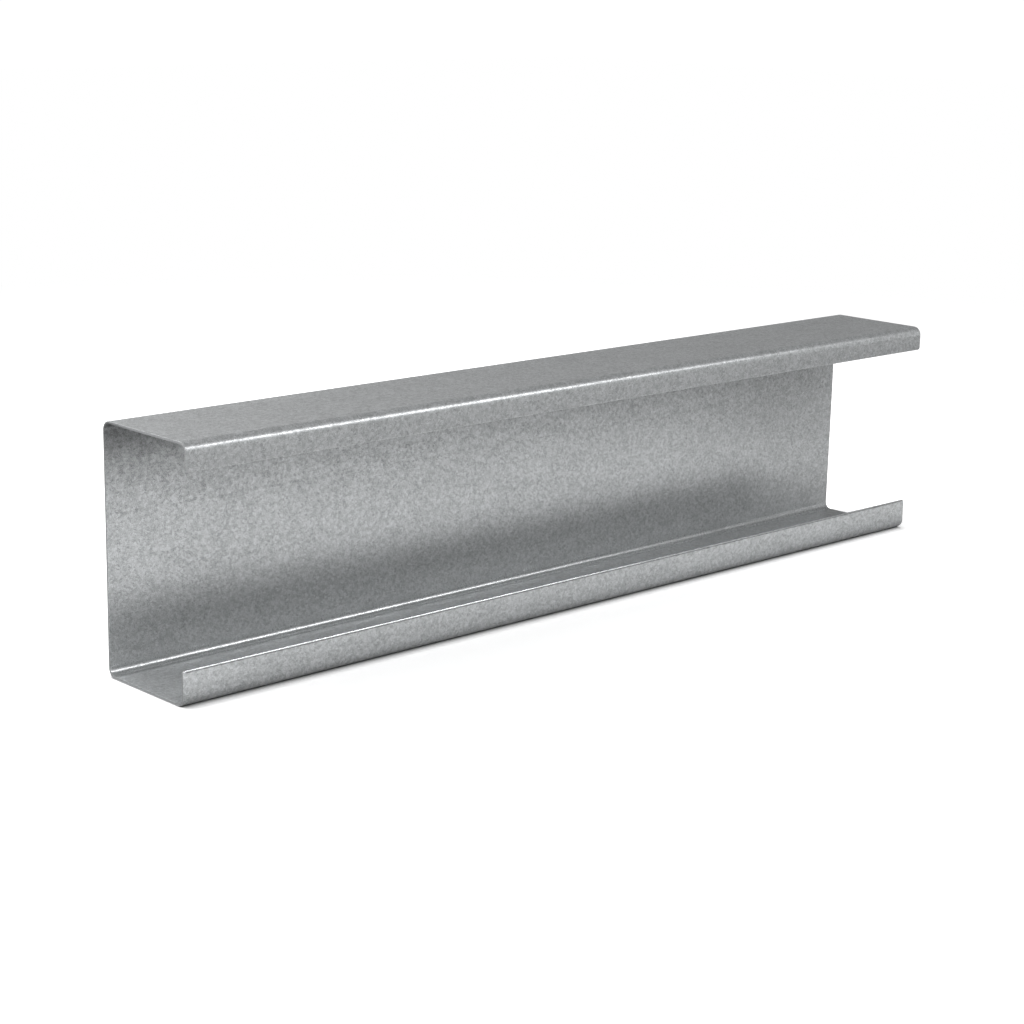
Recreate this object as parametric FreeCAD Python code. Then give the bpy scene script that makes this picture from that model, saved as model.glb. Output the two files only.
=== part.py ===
import FreeCAD, Part
import math
import os

# A cold-formed steel C purlin: one strip of galvanised sheet, roll-formed into a
# lipped channel and sheared square at both ends. It stands on its narrower
# flange, with the web upright at the back and the open side to the front.
#
# Millimetres. X runs along the purlin, +Y points out of the back of the web and
# +Z points up. The origin is on the floor, in the middle of the flange it rests on.

# Driving dimensions: outer sizes of the section, measured to its sharp corners
section_depth = 102.0
top_flange_width = 54.0
bottom_flange_width = 50.0
top_lip_depth = 11.0
bottom_lip_depth = 14.5

# Driving dimensions: the sheet, its bends, its length and its trimmed corners
sheet_thickness = 1.0
inner_bend_radius = 3.0
purlin_length = 436.0
lip_corner_radius = 1.2

# Places that follow from them
outer_bend_radius = inner_bend_radius + sheet_thickness
web_back = bottom_flange_width / 2
near_end = -purlin_length / 2
along_purlin = FreeCAD.Vector(purlin_length, 0, 0)
same_length = 1e-6


def section_point(y, z):
    """A point of the section, in the plane of the near end."""
    return FreeCAD.Vector(near_end, y, z)


def strip_face(inset):
    """Sharp corners of one face of the strip, from the top lip's free edge round
    to the bottom lip's. The outer face has an inset of nothing, and the inner
    face an inset of the sheet's thickness. The free edges stay where they are."""
    top_lip = web_back - top_flange_width + inset
    bottom_lip = web_back - bottom_flange_width + inset
    web = web_back - inset
    top = section_depth - inset
    bottom = inset
    return [
        section_point(top_lip, section_depth - top_lip_depth),
        section_point(top_lip, top),
        section_point(web, top),
        section_point(web, bottom),
        section_point(bottom_lip, bottom),
        section_point(bottom_lip, bottom_lip_depth),
    ]


def bent_run(corners, bend_radius):
    """Edges along the corners, where each bend is an arc tangent to its two runs.
    The arc leaves a run at radius times the tangent of half the turn from the
    corner, and its middle lies on the line that halves the corner."""
    edges = []
    run_start = corners[0]
    for before, corner, after in zip(corners, corners[1:], corners[2:]):
        back = (before - corner).normalize()
        ahead = (after - corner).normalize()
        half_turn = (math.pi - back.getAngle(ahead)) / 2
        to_tangent = bend_radius * math.tan(half_turn)
        to_middle = bend_radius / math.cos(half_turn) - bend_radius
        arc_start = corner + back * to_tangent
        arc_middle = corner + (back + ahead).normalize() * to_middle
        arc_end = corner + ahead * to_tangent
        edges.append(Part.LineSegment(run_start, arc_start).toShape())
        edges.append(Part.Arc(arc_start, arc_middle, arc_end).toShape())
        run_start = arc_end
    edges.append(Part.LineSegment(run_start, corners[-1]).toShape())
    return edges


def make_section():
    """The strip's section at the near end: its outer and inner faces, closed by
    the slit edge of each lip."""
    outer = strip_face(0)
    inner = strip_face(sheet_thickness)
    outline = bent_run(outer, outer_bend_radius)
    outline.append(Part.LineSegment(outer[-1], inner[-1]).toShape())
    outline += bent_run(inner, inner_bend_radius)
    outline.append(Part.LineSegment(inner[0], outer[0]).toShape())
    return Part.Face(Part.Wire(Part.sortEdges(outline)[0]))


def goes_through_sheet(edge):
    """True for the short edge where a slit edge meets a sheared end: it runs
    along Y, straight through the sheet."""
    box = edge.BoundBox
    along_y = max(box.XLength, box.ZLength) < same_length
    return along_y and abs(edge.Length - sheet_thickness) < same_length


def make_purlin():
    """The section drawn along X, with the four free corners of the lips rounded."""
    channel = make_section().extrude(along_purlin)
    lip_corners = [edge for edge in channel.Edges if goes_through_sheet(edge)]
    return channel.makeFillet(lip_corner_radius, lip_corners)


os.makedirs("parts", exist_ok=True)

purlin = make_purlin()
purlin.exportStep("parts/purlin.step")
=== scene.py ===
import math

import bpy
import numpy as np
from mathutils import Matrix, Vector


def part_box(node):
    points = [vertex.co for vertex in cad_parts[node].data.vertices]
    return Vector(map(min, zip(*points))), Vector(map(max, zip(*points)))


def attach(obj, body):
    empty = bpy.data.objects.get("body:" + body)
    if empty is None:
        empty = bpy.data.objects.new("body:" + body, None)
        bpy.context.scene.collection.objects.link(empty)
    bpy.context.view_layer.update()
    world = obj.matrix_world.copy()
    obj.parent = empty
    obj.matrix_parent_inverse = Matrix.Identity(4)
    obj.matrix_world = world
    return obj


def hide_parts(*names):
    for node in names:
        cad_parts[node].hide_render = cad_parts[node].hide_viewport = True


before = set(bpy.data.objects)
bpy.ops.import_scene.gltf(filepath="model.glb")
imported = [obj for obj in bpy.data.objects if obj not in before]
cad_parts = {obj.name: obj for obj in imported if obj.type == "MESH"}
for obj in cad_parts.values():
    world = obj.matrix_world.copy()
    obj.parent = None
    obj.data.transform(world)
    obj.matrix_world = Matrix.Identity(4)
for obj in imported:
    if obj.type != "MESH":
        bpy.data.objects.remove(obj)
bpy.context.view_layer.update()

# A roll-formed C purlin in galvanised sheet, on a pale floor in soft studio light.
# Metres, in the part's own frame: X along the purlin, +Y out of the back of the
# web, +Z up, and the floor at zero.

mm = 0.001
quarter = math.pi / 2

# The strip before it is bent, from the top lip's slit edge to the bottom lip's
sheet_thickness = 1.0 * mm
half_thickness = sheet_thickness / 2
bend_radius = 3.5 * mm
bend_run = bend_radius * quarter
top_lip_run = 7.0 * mm
top_flange_run = 46.0 * mm
web_run = 94.0 * mm
bottom_flange_run = 42.0 * mm
bottom_lip_run = 10.5 * mm
lip_corner_radius = 1.2 * mm

low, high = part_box("purlin")
purlin_length = high.x - low.x
half_length = purlin_length / 2
middle_of_length = (high.x + low.x) / 2

# Runs and bends in turn: how long each is along the strip, and how far it turns
piece_lengths = np.array([
    top_lip_run, bend_run, top_flange_run, bend_run, web_run,
    bend_run, bottom_flange_run, bend_run, bottom_lip_run,
])
top_flange = 2
top_web_bend = 3
web = 4
bottom_flange = 6
bottom_lip = 8
bends = [1, top_web_bend, 5, 7]
piece_turns = np.zeros(len(piece_lengths))
piece_turns[bends] = quarter
piece_starts = np.concatenate([[0], np.cumsum(piece_lengths)])
strip_width = piece_starts[-1]


def along_section(across):
    """Where the strip's middle layer lies and which way it heads, at a distance
    across the strip. A run or bend of length l that turns by a has its far end
    at l times sin(a/2)/(a/2) from its near end, in the direction of its first
    heading turned by a/2. So a point part of the way along a piece comes from
    the same words with that part's length and turn. The strip starts up the
    top lip, and each bend turns it to the right."""
    turned = np.concatenate([[0], np.cumsum(piece_turns)])
    heading = quarter - turned
    chord = piece_lengths * np.sinc(piece_turns / 2 / math.pi)
    step_y = chord * np.cos(heading[:-1] - piece_turns / 2)
    step_z = chord * np.sin(heading[:-1] - piece_turns / 2)
    start_y = low.y + half_thickness + np.concatenate([[0], np.cumsum(step_y)])
    start_z = np.concatenate([[0], np.cumsum(step_z)])
    start_z += high.z - half_thickness - start_z.max()
    piece = np.searchsorted(piece_starts, across, side="right") - 1
    piece = np.clip(piece, 0, bottom_lip)
    part = across - piece_starts[piece]
    turn = piece_turns[piece] * part / piece_lengths[piece]
    reach = part * np.sinc(turn / 2 / math.pi)
    middle_heading = heading[piece] - turn / 2
    y = start_y[piece] + reach * np.cos(middle_heading)
    z = start_z[piece] + reach * np.sin(middle_heading)
    return y, z, heading[piece] - turn


# Slight waves that the flats keep from the coil: depth, length and start of each
# wave, and how far a wave is turned across a run, in radians
web_wave = 0.12 * mm
flange_wave = 0.04 * mm
wave_lengths = (0.19, 0.083, 0.31)
wave_starts = (0.3, 1.9, 4.1)
wave_slant = 2.2


def sheet_waves(along, across):
    """How far the flats sink towards the inside: on each run, a hump that is
    nothing at its bends and one at its middle, times the mean of three sines
    along the purlin, raised so that it is never below nothing."""
    sunk = np.zeros(np.broadcast(along, across).shape)
    for run, depth in ((top_flange, flange_wave), (web, web_wave), (bottom_flange, flange_wave)):
        place = (across - piece_starts[run]) / piece_lengths[run]
        hump = np.where((place > 0) & (place < 1), np.sin(math.pi * place) ** 2, 0)
        swell = sum(
            np.sin(2 * math.pi * along / length + start + wave_slant * place)
            for length, start in zip(wave_lengths, wave_starts)
        )
        sunk += depth * hump * (swell / len(wave_lengths) + 1) / 2
    return sunk


def roll_form(along, across, outwards):
    """Bends the flat strip into the purlin. A point goes to the place of the
    strip's middle layer, plus its height above that layer times the outward
    normal, which is the heading turned a quarter to the left."""
    y, z, heading = along_section(across)
    height = outwards - sheet_waves(along, across)
    return np.stack([
        middle_of_length + along,
        y - height * np.sin(heading),
        z + height * np.cos(heading),
    ], axis=-1)


# How far each kind of edge is worn back along the sheet's face, how deep, and the
# power of its profile: the sheared ends are keen, and of the coil's slit edges the
# bottom lip's is rolled over into a long slope
sheared_end = (0.12 * mm, 0.12 * mm, 1.0)
top_slit = (0.22 * mm, 0.22 * mm, 1.0)
bottom_slit = (0.85 * mm, 0.47 * mm, 1.6)
corner_steps = 8
rounding_steps = 6
bend_steps = 14
row_spacing = 4.0 * mm
support_distance = 0.5 * mm


def worn(slope, slit, which):
    """How worn the outline is at a place, from the sine of its normal's angle to
    the purlin's length: the sheared ends' value, the slit edge's along a lip, and
    between them by the square of the sine."""
    return sheared_end[which] + (slit - sheared_end[which]) * slope ** 2


def spread(start, end, spacing):
    """Evenly spaced values from start up to end, without end, about spacing apart."""
    count = max(1, int(round((end - start) / spacing)))
    return start + (end - start) * np.arange(count) / count


def strip_rows():
    """Rows across the strip and the half length of each. At a lip's corner the
    rows follow the corner's arc less how far its edge is worn back there, which
    the two lips have each in their own way. Elsewhere rows lie on the runs and
    bends, with one close to either side of each bend."""
    angle = np.linspace(quarter, 0, corner_steps + 1)
    corner = []
    corner_half = []
    for slit in (top_slit[0], bottom_slit[0]):
        reach = lip_corner_radius - worn(np.sin(angle), slit, 0)
        corner.append(lip_corner_radius - reach * np.sin(angle))
        corner_half.append(half_length - lip_corner_radius + reach * np.cos(angle))
    inner = []
    for piece in range(len(piece_lengths)):
        start = piece_starts[piece] if piece else lip_corner_radius
        end = piece_starts[piece + 1] if piece < bottom_lip else strip_width - lip_corner_radius
        if piece in bends:
            inner.append(spread(start, end, bend_run / bend_steps))
            continue
        last = end - support_distance
        inner.append([start])
        inner.append(spread(start + support_distance, last, row_spacing))
        inner.append([last])
    inner = np.concatenate(inner)[1:]
    across = np.concatenate([corner[0], inner, strip_width - corner[1][::-1]])
    straight = np.full(len(inner), half_length - sheared_end[0])
    halves = np.concatenate([corner_half[0], straight, corner_half[1][::-1]])
    return across, halves


def strip_columns():
    """Columns along the purlin as shares of a row's half length, with one close
    to either end."""
    support = 1 - support_distance / half_length
    count = int(round(purlin_length / row_spacing))
    return np.concatenate([[-1], np.linspace(-support, support, count), [1]])


def quads(grid):
    """Faces of a grid of vertex numbers: each corner with its next neighbours."""
    corners = grid[:-1, :-1], grid[1:, :-1], grid[1:, 1:], grid[:-1, 1:]
    return np.stack(corners, axis=-1).reshape(-1, 4)


def ring_of(grid):
    """The outline of a grid, once round, starting along its first row."""
    return np.concatenate([grid[0, :-1], grid[:-1, -1], grid[-1, :0:-1], grid[:0:-1, 0]])


def outline_directions(ring_along, ring_across):
    """Which way the outline faces at each of its places: away from the nearest
    place on the strip less its corners' radius."""
    reach = half_length - lip_corner_radius
    near_along = np.clip(ring_along, -reach, reach)
    near_across = np.clip(ring_across, lip_corner_radius, strip_width - lip_corner_radius)
    out_along = ring_along - near_along
    out_across = ring_across - near_across
    size = np.hypot(out_along, out_across)
    return out_along / size, out_across / size


def edge_profile(power):
    """How far out and down the edge is, as shares, and on which side of the
    sheet's middle, from the outer face round to the inner one. It goes out by a
    power of the sine of an angle and down by one less that power of its cosine,
    crosses the cut face, and comes back the same way. A power of one is a quarter
    circle, and a larger one is nearer to a straight slope."""
    angle = np.linspace(0, quarter, rounding_steps + 1)[1:]
    angle = np.concatenate([angle, angle[::-1]])[:, None]
    side = np.where(np.arange(2 * rounding_steps) < rounding_steps, 1.0, -1.0)[:, None]
    out = np.sin(angle) ** power
    down = 1 - np.maximum(np.cos(angle), 0) ** power
    return out, down, side


def point_values(mesh, name, values):
    """Keeps a value at each vertex, for the material to read by its name."""
    attribute = mesh.attributes.new(name, "FLOAT", "POINT")
    attribute.data.foreach_set("value", values.astype(np.float32))


# The flat sheet's own map has its two faces side by side, this far apart, and is
# as long as map_span
map_gap = 5.0 * mm
map_span = 2 * strip_width + map_gap

# How far the looks of a bend, and the closed corner's painted shade and roughness, reach beyond
# the bend, and the shares of the edge's profile from which a cut and a slit edge look like one
bend_fade = 1.5 * mm
corner_fade = 15.0 * mm
cut_from = 0.5
slit_from = 0.1


def make_sheet():
    """The purlin as one closed surface: an outer and an inner grid over the flat
    strip, joined by an edge that is carried round the outline. Then the whole is
    roll-formed."""
    across, halves = strip_rows()
    share = strip_columns()
    along = halves[:, None] * share[None, :]
    across = np.broadcast_to(across[:, None], along.shape)
    count = along.size
    outer = np.arange(count).reshape(along.shape)
    inner = outer + count

    ring = ring_of(outer)
    ring_along = along.ravel()[ring]
    ring_across = across.ravel()[ring]
    out_along, out_across = outline_directions(ring_along, ring_across)
    slope = np.abs(out_across)
    bottom = ring_across > strip_width / 2
    length, depth, power = (
        worn(slope, np.where(bottom, bottom_value, top_value), which)
        for which, (bottom_value, top_value) in enumerate(zip(bottom_slit, top_slit))
    )
    out, down, side = edge_profile(power)
    edge_along = ring_along + out * length * out_along
    edge_across = ring_across + out * length * out_across
    edge_height = side * (half_thickness - depth * down)

    flat_along = np.concatenate([along.ravel(), along.ravel(), edge_along.ravel()])
    flat_across = np.concatenate([across.ravel(), across.ravel(), edge_across.ravel()])
    flat_height = np.concatenate([
        np.full(count, half_thickness),
        np.full(count, -half_thickness),
        edge_height.ravel(),
    ])

    edge = 2 * count + np.arange(edge_along.size).reshape(edge_along.shape)
    band = np.concatenate([ring[None, :], edge, ring[None, :] + count])
    band = np.concatenate([band, band[:, :1]], axis=1)
    faces = np.concatenate([quads(outer), quads(inner)[:, ::-1], quads(band)[:, ::-1]])

    points = roll_form(flat_along, flat_across, flat_height)
    mesh = bpy.data.meshes.new("purlin_sheet")
    mesh.from_pydata(points.tolist(), [], faces.tolist())
    mesh.update()
    mesh.shade_smooth()

    uv_layer = mesh.uv_layers.new(name="flat_sheet")
    corner_vertex = np.zeros(len(mesh.loops), int)
    mesh.loops.foreach_get("vertex_index", corner_vertex)
    shift = np.where(flat_height < 0, strip_width + map_gap, 0)
    uv = np.stack([flat_along + half_length, flat_across + shift], axis=-1) / map_span
    uv_layer.data.foreach_set("uv", uv[corner_vertex].astype(np.float32).ravel())

    # One on the sheared ends and on the bottom slit edge, nothing on the sheet's faces
    cut = (out > cut_from) * (1 - slope ** 2)
    slit = (out > slit_from) * slope ** 2 * bottom
    for name, value in (("sheared_end", cut), ("slit_edge", slit)):
        amount = np.zeros(len(points))
        amount[edge.ravel()] = value.ravel()
        point_values(mesh, name, amount)

    # One in the bends, fading out beside them
    bend_middles = piece_starts[bends] + bend_run / 2
    from_middles = np.abs(flat_across[:, None] - bend_middles)
    beyond_bend = np.maximum(from_middles.min(axis=1) - bend_run / 2, 0)
    point_values(mesh, "bend", np.exp(-(beyond_bend / bend_fade) ** 2))

    # One in the closed corner under the top flange, fading out down the web; it marks where
    # shade is painted into the zinc's colour
    corner = piece_starts[top_web_bend] + bend_run / 2
    from_corner = np.abs(flat_across - corner) / corner_fade
    point_values(mesh, "closed_corner", np.exp(-from_corner ** 2) * (flat_height < 0))

    sheet = bpy.data.objects.new("purlin_sheet", mesh)
    bpy.context.scene.collection.objects.link(sheet)
    return sheet


purlin_sheet = make_sheet()


# Shader nodes
def add_node(tree, kind, inputs={}, **settings):
    """A new node of a kind, with its settings, and its inputs by name or number."""
    node = tree.nodes.new(kind)
    for name, value in settings.items():
        setattr(node, name, value)
    for name, value in inputs.items():
        socket = node.inputs[name]
        if isinstance(value, bpy.types.NodeSocket):
            tree.links.new(value, socket)
        else:
            socket.default_value = value
    return node


def sum_of(tree, operation, *terms):
    """The result of one sum on one, two or three values or sockets."""
    inputs = dict(enumerate(terms))
    return add_node(tree, "ShaderNodeMath", inputs, operation=operation).outputs[0]


def ramp(tree, value, start, end, low_value=0.0, high_value=1.0):
    """A value that goes smoothly from low_value at start to high_value at end."""
    inputs = {
        "Value": value, "From Min": start, "From Max": end,
        "To Min": low_value, "To Max": high_value,
    }
    node = add_node(tree, "ShaderNodeMapRange", inputs, interpolation_type="SMOOTHSTEP")
    return node.outputs[0]


def parts_of(tree, place):
    """The X, Y and Z of a place or direction, by name."""
    return add_node(tree, "ShaderNodeSeparateXYZ", {0: place}).outputs


def noise(tree, place, size, detail=0.0, stretch=(1.0, 1.0, 1.0), start=(0.0, 0.0, 0.0)):
    """Noise about nothing, with lumps of a size in millimetres, longer by stretch."""
    scale = tuple(1 / (size * factor) for factor in stretch)
    inputs = {"Vector": place, "Location": start, "Scale": scale}
    moved = add_node(tree, "ShaderNodeMapping", inputs).outputs[0]
    inputs = {"Vector": moved, "Scale": 1.0, "Detail": detail}
    value = add_node(tree, "ShaderNodeTexNoise", inputs).outputs[0]
    return sum_of(tree, "SUBTRACT", value, 0.5)


def new_group(name, inputs, outputs):
    """An empty node group with named inputs and outputs, and its two end nodes."""
    group = bpy.data.node_groups.new(name, "ShaderNodeTree")
    for socket, kind in inputs.items():
        group.interface.new_socket(socket, in_out="INPUT", socket_type="NodeSocket" + kind)
    for socket, kind in outputs.items():
        group.interface.new_socket(socket, in_out="OUTPUT", socket_type="NodeSocket" + kind)
    return group, add_node(group, "NodeGroupInput"), add_node(group, "NodeGroupOutput")


def new_material(name):
    """A material with no nodes yet, and its node tree."""
    material = bpy.data.materials.new(name)
    material.use_nodes = True
    material.node_tree.nodes.clear()
    return material, material.node_tree


# The zinc's grain: sizes in millimetres, how strongly each kind lightens and darkens
# the zinc, as shares of its colour, and the fine grain's share of the relief
crystal_size = 0.95
crystal_wander_size = 0.8
fine_size = 0.42
medium_size = 2.1
patch_size = 8.5
cloud_size = 34.0
crystal_tone = 0.38
fine_tone = 1.35
medium_tone = 0.36
patch_tone = 0.22
cloud_tone = 0.10
fine_relief = 0.8


def zinc_grain():
    """The frozen zinc: small crystals of unequal tone, finer grains between them,
    and patches where the coating froze a little lighter or darker."""
    group, given, result = new_group(
        "zinc_grain", {"Place": "Vector", "Mottling": "Float"},
        {"Tone": "Float", "Height": "Float"},
    )
    place = given.outputs["Place"]
    inputs = {0: place, 1: noise(group, place, crystal_wander_size, 1.0)}
    bent = add_node(group, "ShaderNodeVectorMath", inputs, operation="ADD").outputs[0]
    inputs = {"Vector": bent, "Scale": 1 / crystal_size, "Randomness": 1.0}
    cells = add_node(group, "ShaderNodeTexVoronoi", inputs).outputs["Color"]
    crystal = add_node(group, "ShaderNodeSeparateColor", {0: cells}).outputs[0]
    crystal = sum_of(group, "SUBTRACT", crystal, 0.5)
    fine = noise(group, place, fine_size, 2.0)
    medium = noise(group, place, medium_size, 1.0, start=(13.0, 7.0, 3.0))
    patch = noise(group, place, patch_size, 1.0, start=(5.0, 21.0, 9.0))
    cloud = noise(group, place, cloud_size, 1.0, start=(31.0, 2.0, 17.0))
    tone = sum_of(group, "MULTIPLY", crystal, crystal_tone)
    tone = sum_of(group, "MULTIPLY_ADD", fine, fine_tone, tone)
    mottled = sum_of(group, "MULTIPLY", medium, medium_tone)
    mottled = sum_of(group, "MULTIPLY_ADD", patch, patch_tone, mottled)
    tone = sum_of(group, "MULTIPLY_ADD", mottled, given.outputs["Mottling"], tone)
    tone = sum_of(group, "MULTIPLY_ADD", cloud, cloud_tone, tone)
    height = sum_of(group, "MULTIPLY_ADD", fine, fine_relief, crystal)
    group.links.new(tone, result.inputs["Tone"])
    group.links.new(height, result.inputs["Height"])
    return group


# Handling marks: their width in millimetres, how many times longer they are, and
# the noise values at which they start and are full
mark_width = 0.5
long_marks = (7.0, 1.0, 1.0)
long_marks_rise = (0.17, 0.27)
cross_marks = (1.0, 6.0, 1.0)
cross_marks_rise = (0.19, 0.29)


def handling_marks():
    """Short faint ticks and scuffs, most of them along or across the strip, where
    one noise of long thin lumps comes above its threshold."""
    group, given, result = new_group("handling_marks", {"Place": "Vector"}, {"Mask": "Float"})
    place = given.outputs["Place"]
    along = noise(group, place, mark_width, 1.0, stretch=long_marks, start=(3.0, 11.0, 0.0))
    across = noise(group, place, mark_width, 1.0, stretch=cross_marks, start=(17.0, 5.0, 0.0))
    mask = sum_of(
        group, "MAXIMUM",
        ramp(group, along, *long_marks_rise),
        ramp(group, across, *cross_marks_rise),
    )
    group.links.new(mask, result.inputs["Mask"])
    return group


# The roll's line on the inner face, in millimetres of the flat map: where that face
# and its web start, the line's place and width, the share of its width that is
# full, how it is broken, and how far beside it the web's look changes
inner_face_start = (strip_width + map_gap) / mm
face_allowance = 2.5
inner_web_start = inner_face_start + 60.0
roll_line_place = inner_face_start + 97.0
roll_line_width = 0.7
roll_line_core = 0.2
break_size = 1.5
break_stretch = (12.0, 1.0, 1.0)
break_rise = (-0.15, 0.1)
past_reach = 3.0


def roll_line():
    """The thin dark line that a roll left along the inside of the web, one at the
    middle of its width and nothing beyond it, broken here and there. Past goes
    from nothing below the line on the web to one above it."""
    group, given, result = new_group(
        "roll_line", {"Place": "Vector", "Across": "Float", "Width": "Float"},
        {"Mask": "Float", "Past": "Float"},
    )
    place = given.outputs["Place"]
    down_strip = parts_of(group, place)["Y"]
    beside = sum_of(group, "SUBTRACT", down_strip, given.outputs["Across"])
    share = sum_of(group, "DIVIDE", sum_of(group, "ABSOLUTE", beside), given.outputs["Width"])
    line = ramp(group, share, roll_line_core, 1.0, 1.0, 0.0)
    broken = noise(group, place, break_size, 1.0, stretch=break_stretch)
    line = sum_of(group, "MULTIPLY", line, ramp(group, broken, *break_rise))
    group.links.new(line, result.inputs["Mask"])
    group.links.new(ramp(group, beside, past_reach, -past_reach), result.inputs["Past"])
    return group


# The zinc itself, how much more mottled it is above the roll's line, and the depth
# of its relief
zinc_colour = (0.44, 0.452, 0.458)
zinc_metallic = 0.65
zinc_roughness = 0.31
upper_mottling = 0.9
relief_depth = 0.005 * mm

# How the tone and the roughness change with the grain's tone, on handling marks, the
# roll's line, the sheared ends and the slit edge, and outside and inside the bends
grain_smoothness = -0.07
mark_tone = -0.10
mark_roughness = 0.08
line_tone = -0.10
cut_tone = -0.30
cut_roughness = 0.15
slit_tone = 0.08
slit_polish = -0.09
outer_bend_wear = 0.04
inner_bend_polish = -0.03

# How much the zinc's colour is darkened in the closed corner, as painted shade, and how much
# rougher it is
corner_painted_shade = -0.65
corner_roughness = 0.2


def galvanised_sheet():
    """Satin zinc over sheet steel: duller where it was handled, rougher and darkened with
    painted shade in the closed corner, smoother on the slit edge and inside the bends, and
    darker and rougher on the sheared ends."""
    material, tree = new_material("galvanised_sheet")
    flat = add_node(tree, "ShaderNodeUVMap", uv_map="flat_sheet").outputs["UV"]
    inputs = {"Vector": flat, "Scale": (map_span / mm,) * 3}
    place = add_node(tree, "ShaderNodeMapping", inputs).outputs[0]
    cut, slit, bend, corner_shade_and_roughness = (
        add_node(tree, "ShaderNodeAttribute", attribute_name=name).outputs["Fac"]
        for name in ("sheared_end", "slit_edge", "bend", "closed_corner")
    )
    down_strip = parts_of(tree, place)["Y"]
    inner = sum_of(tree, "GREATER_THAN", down_strip, inner_face_start - face_allowance)
    inner_web = sum_of(tree, "GREATER_THAN", down_strip, inner_web_start)

    inputs = {"Place": place, "Across": roll_line_place, "Width": roll_line_width}
    line = add_node(tree, "ShaderNodeGroup", inputs, node_tree=roll_line()).outputs
    above_line = sum_of(tree, "MULTIPLY", line["Past"], inner_web)
    mottling = sum_of(tree, "MULTIPLY_ADD", above_line, upper_mottling, 1.0)
    inputs = {"Place": place, "Mottling": mottling}
    grain = add_node(tree, "ShaderNodeGroup", inputs, node_tree=zinc_grain()).outputs
    inputs = {"Place": place}
    marks = add_node(tree, "ShaderNodeGroup", inputs, node_tree=handling_marks()).outputs["Mask"]

    tone = sum_of(tree, "ADD", grain["Tone"], 1.0)
    tone_changes = (
        (marks, mark_tone), (line["Mask"], line_tone), (cut, cut_tone), (slit, slit_tone),
    )
    for amount, change in tone_changes:
        tone = sum_of(tree, "MULTIPLY_ADD", amount, change, tone)
    # Painted shade: the zinc's colour is darkened in the closed corner under the top flange,
    # where shade falls
    lit = sum_of(tree, "MULTIPLY_ADD", corner_shade_and_roughness, corner_painted_shade, 1.0)
    inputs = {0: zinc_colour, "Scale": sum_of(tree, "MULTIPLY", tone, lit)}
    colour = add_node(tree, "ShaderNodeVectorMath", inputs, operation="SCALE").outputs[0]

    bend_change = inner_bend_polish - outer_bend_wear
    rolled = sum_of(tree, "MULTIPLY_ADD", inner, bend_change, outer_bend_wear)
    roughness_changes = (
        (grain["Tone"], grain_smoothness), (bend, rolled), (marks, mark_roughness),
        (cut, cut_roughness), (slit, slit_polish), (corner_shade_and_roughness, corner_roughness),
    )
    roughness = zinc_roughness
    for amount, change in roughness_changes:
        roughness = sum_of(tree, "MULTIPLY_ADD", amount, change, roughness)

    inputs = {"Strength": 1.0, "Distance": relief_depth, "Height": grain["Height"]}
    relief = add_node(tree, "ShaderNodeBump", inputs).outputs["Normal"]
    shader = add_node(tree, "ShaderNodeBsdfPrincipled", {
        "Base Color": colour, "Metallic": zinc_metallic, "Roughness": roughness,
        "Normal": relief,
    })
    add_node(tree, "ShaderNodeOutputMaterial", {"Surface": shader.outputs[0]})
    return material


purlin_sheet.data.materials.append(galvanised_sheet())

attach(purlin_sheet, "root")
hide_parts("purlin")


# The studio: a white floor that runs white to the horizon
def flat_board(name, low_x, high_x, low_y, high_y, level):
    """A level rectangle that faces up."""
    mesh = bpy.data.meshes.new(name)
    corners = [
        (low_x, low_y, level), (high_x, low_y, level),
        (high_x, high_y, level), (low_x, high_y, level),
    ]
    mesh.from_pydata(corners, [], [(0, 1, 2, 3)])
    board = bpy.data.objects.new(name, mesh)
    bpy.context.scene.collection.objects.link(board)
    return board


# The floor's own colour and the one that rays which see it meet, how far the shadow
# of what stands on it reaches, and where it fades to plain white
floor_reach = 4.0
floor_colour = 0.8
floor_seen = 1.4
contact_reach = 5.0 * mm
contact_samples = 8
white_fade = (0.5, 1.0)
white = (1.0, 1.0, 1.0, 1.0)


def floor_material():
    """Diffuse white that is a little brighter to rays from the camera, from a
    reflection or through glass, except close to what stands on it, where its
    shadow deepens. With distance from the object those rays meet plain white
    instead."""
    material, tree = new_material("pale_floor")
    path = add_node(tree, "ShaderNodeLightPath").outputs
    seen = sum_of(tree, "MAXIMUM", path["Is Camera Ray"], path["Is Glossy Ray"])
    seen = sum_of(tree, "MAXIMUM", seen, path["Is Transmission Ray"])
    inputs = {"Distance": contact_reach}
    open_sky = add_node(tree, "ShaderNodeAmbientOcclusion", inputs, samples=contact_samples)
    seen_colour = sum_of(tree, "MULTIPLY", open_sky.outputs["AO"], floor_seen)
    extra = sum_of(tree, "SUBTRACT", seen_colour, floor_colour)
    level = sum_of(tree, "MULTIPLY_ADD", extra, seen, floor_colour)
    grey = add_node(tree, "ShaderNodeCombineColor", {0: level, 1: level, 2: level}).outputs[0]
    matte = add_node(tree, "ShaderNodeBsdfDiffuse", {"Color": grey}).outputs[0]
    plain = add_node(tree, "ShaderNodeEmission", {"Color": white, "Strength": 1.0}).outputs[0]
    place = add_node(tree, "ShaderNodeTexCoord").outputs["Object"]
    length = add_node(tree, "ShaderNodeVectorMath", {0: place}, operation="LENGTH")
    away = ramp(tree, length.outputs["Value"], *white_fade)
    far = sum_of(tree, "MULTIPLY", away, seen)
    both = add_node(tree, "ShaderNodeMixShader", {0: far, 1: matte, 2: plain}).outputs[0]
    add_node(tree, "ShaderNodeOutputMaterial", {"Surface": both})
    return material


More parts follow.
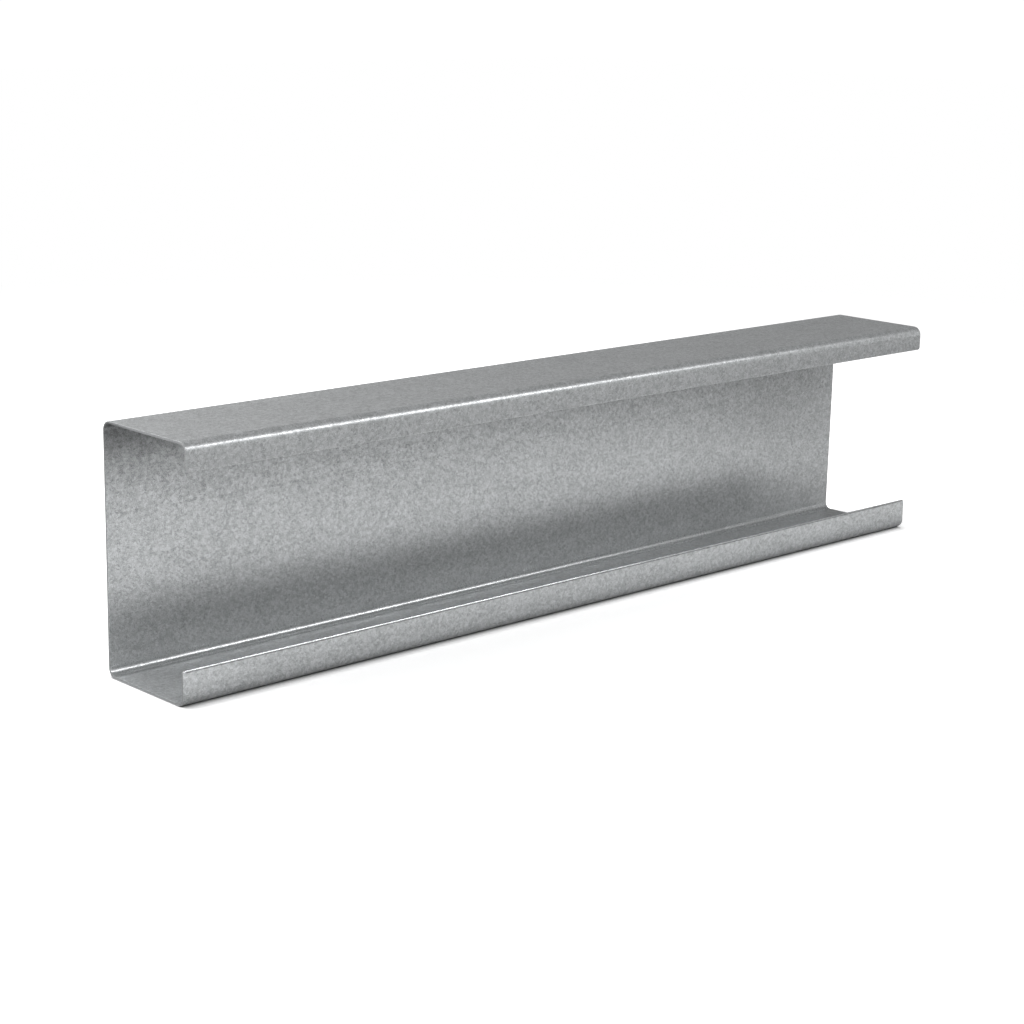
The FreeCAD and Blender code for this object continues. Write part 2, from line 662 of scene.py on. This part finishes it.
# The cloth's grey, how much its front edge runs askew, and the stretches in which it fades in:
# in front, beyond the far end, and close along the bottom lip in two steps, where it is the
# part's shadow on the floor painted in for the reflections only
cloth_grey = (0.19, 0.19, 0.19, 1.0)
cloth_level = 0.5 * mm
cloth_skew = -0.15
front_fade = (-0.14, -0.30)
beside_fade = (0.23, 0.36)
beside_share = 0.75
near_lip_shadow_fade = (-0.072, -0.045)
near_lip_shadow_share = 0.30
at_lip_shadow_fade = (-0.046, -0.030)
at_lip_shadow_share = 0.5
start_fade = (-0.9, -0.4)


def cloth_material():
    """Grey cloth that fades in over stretches of the floor; along the bottom lip it is painted
    shadow of the part, seen only in reflections.
    """
    material, tree = new_material("grey_cloth")
    parts = parts_of(tree, add_node(tree, "ShaderNodeTexCoord").outputs["Object"])
    skewed = sum_of(tree, "MULTIPLY_ADD", parts["X"], cloth_skew, parts["Y"])
    front = ramp(tree, skewed, *front_fade)
    beside = ramp(tree, parts["X"], *beside_fade, 0.0, beside_share)
    # Painted shadow: the grey along the bottom lip stands for the part's shadow on the floor, as
    # the metal's reflections see it
    near_lip = ramp(tree, parts["Y"], *near_lip_shadow_fade, 0.0, near_lip_shadow_share)
    at_lip = ramp(tree, parts["Y"], *at_lip_shadow_fade, 0.0, at_lip_shadow_share)
    close = sum_of(tree, "ADD", near_lip, at_lip)
    there = sum_of(tree, "MAXIMUM", sum_of(tree, "MAXIMUM", front, beside), close)
    there = sum_of(tree, "MULTIPLY", there, ramp(tree, parts["X"], *start_fade))
    matte = add_node(tree, "ShaderNodeBsdfDiffuse", {"Color": cloth_grey}).outputs[0]
    clear = add_node(tree, "ShaderNodeBsdfTransparent").outputs[0]
    both = add_node(tree, "ShaderNodeMixShader", {0: there, 1: clear, 2: matte}).outputs[0]
    add_node(tree, "ShaderNodeOutputMaterial", {"Surface": both})
    return material


floor = flat_board("floor", -floor_reach, floor_reach, -floor_reach, floor_reach, 0.0)
floor.data.materials.append(floor_material())

# A cloth on the floor before the part, which only the metal's reflections meet; along the bottom
# lip it is painted shadow
cloth = flat_board("grey_cloth", -1.0, 3.0, -2.5, 0.5, cloth_level)
cloth.data.materials.append(cloth_material())
cloth.visible_camera = False
cloth.visible_diffuse = False
cloth.visible_transmission = False
cloth.visible_shadow = False

# Light levels of the room, where one is white, and the heights of a direction
# between which the horizon gives way to the room and the room to its ceiling
horizon_level = 1.05
horizon_fade = (0.0, 0.09)
ceiling_level = 0.45
ceiling_fade = (0.3, 0.8)
bright_level = 1.8
bright_side = (-0.68, -0.73, 0.0)
bright_fade = (-0.8, 1.0)

# Directions of the dim places, and the cosines at which each starts and is full
dim_level = 0.13
dim_places = (
    ((0.8956, 0.3618, 0.2588), 0.62, 1.0),
    ((0.8228, -0.2052, 0.5299), 0.80, 1.0),
    ((0.6348, -0.7566, 0.1564), 0.93, 1.0),
)


def studio_world():
    """Soft light all round: white at the horizon, dimmer overhead and towards
    three places of the room, and brighter from one side. A side or place is a
    smooth step on the cosine of the angle to its direction."""
    world = bpy.data.worlds.new("studio")
    world.use_nodes = True
    tree = world.node_tree
    tree.nodes.clear()
    direction = add_node(tree, "ShaderNodeTexCoord").outputs["Generated"]
    up = parts_of(tree, direction)["Z"]

    def towards(aim):
        inputs = {0: direction, 1: aim}
        cosine = add_node(tree, "ShaderNodeVectorMath", inputs, operation="DOT_PRODUCT")
        return cosine.outputs["Value"]

    ceiling = ramp(tree, up, *ceiling_fade, 1.0, ceiling_level)
    bright = ramp(tree, towards(bright_side), *bright_fade, 1.0, bright_level)
    room = sum_of(tree, "MULTIPLY", ceiling, bright)
    for aim, edge, centre in dim_places:
        dim = ramp(tree, towards(aim), edge, centre, 1.0, dim_level)
        room = sum_of(tree, "MULTIPLY", room, dim)
    above = ramp(tree, up, *horizon_fade)
    apart = sum_of(tree, "SUBTRACT", room, horizon_level)
    level = sum_of(tree, "MULTIPLY_ADD", apart, above, horizon_level)
    background = add_node(tree, "ShaderNodeBackground", {"Color": white, "Strength": level})
    add_node(tree, "ShaderNodeOutputWorld", {"Surface": background.outputs[0]})
    return world


bpy.context.scene.world = studio_world()


def softbox(name, place, aim, size, watts):
    """A soft lamp at a place, turned to shine at a point, with its long side as
    nearly along X as that allows."""
    lamp = bpy.data.lights.new(name, "AREA")
    lamp.shape = "RECTANGLE"
    lamp.size, lamp.size_y = size
    lamp.energy = watts
    box = bpy.data.objects.new(name, lamp)
    along = Vector((1.0, 0.0, 0.0))
    back = (Vector(place) - Vector(aim)).normalized()
    side = (along - back * back.dot(along)).normalized()
    turn = Matrix((side, back.cross(side), back)).transposed().to_4x4()
    box.matrix_world = Matrix.Translation(Vector(place)) @ turn
    box.visible_camera = False
    bpy.context.scene.collection.objects.link(box)


softbox(
    "back_softbox", place=(-0.35, 0.55, 0.9), aim=(0.0, -0.1, 0.0),
    size=(0.7, 0.7), watts=7.4,
)
softbox(
    "strip_softbox", place=(0.37, -0.49, 0.55), aim=(0.0, 0.0, 0.05),
    size=(0.46, 0.10), watts=1.6,
)

# The camera at the photograph's viewing angle
camera_place = Vector((-677.49, -688.31, 275.30)) * mm
camera_right = Vector((0.73026918, -0.68290458, 0.01866187))
camera_down = Vector((-0.15069457, -0.18767025, -0.97060343))
camera_ahead = Vector((0.6663318, 0.70598953, -0.23995982))
camera_data = bpy.data.cameras.new("camera")
camera_data.sensor_width = 36.0
camera_data.lens = 79.17
camera = bpy.data.objects.new("camera", camera_data)
turn = Matrix((camera_right, -camera_down, -camera_ahead)).transposed().to_4x4()
camera.matrix_world = Matrix.Translation(camera_place) @ turn
bpy.context.scene.collection.objects.link(camera)
bpy.context.scene.camera = camera
bpy.context.scene.view_settings.view_transform = "Standard"
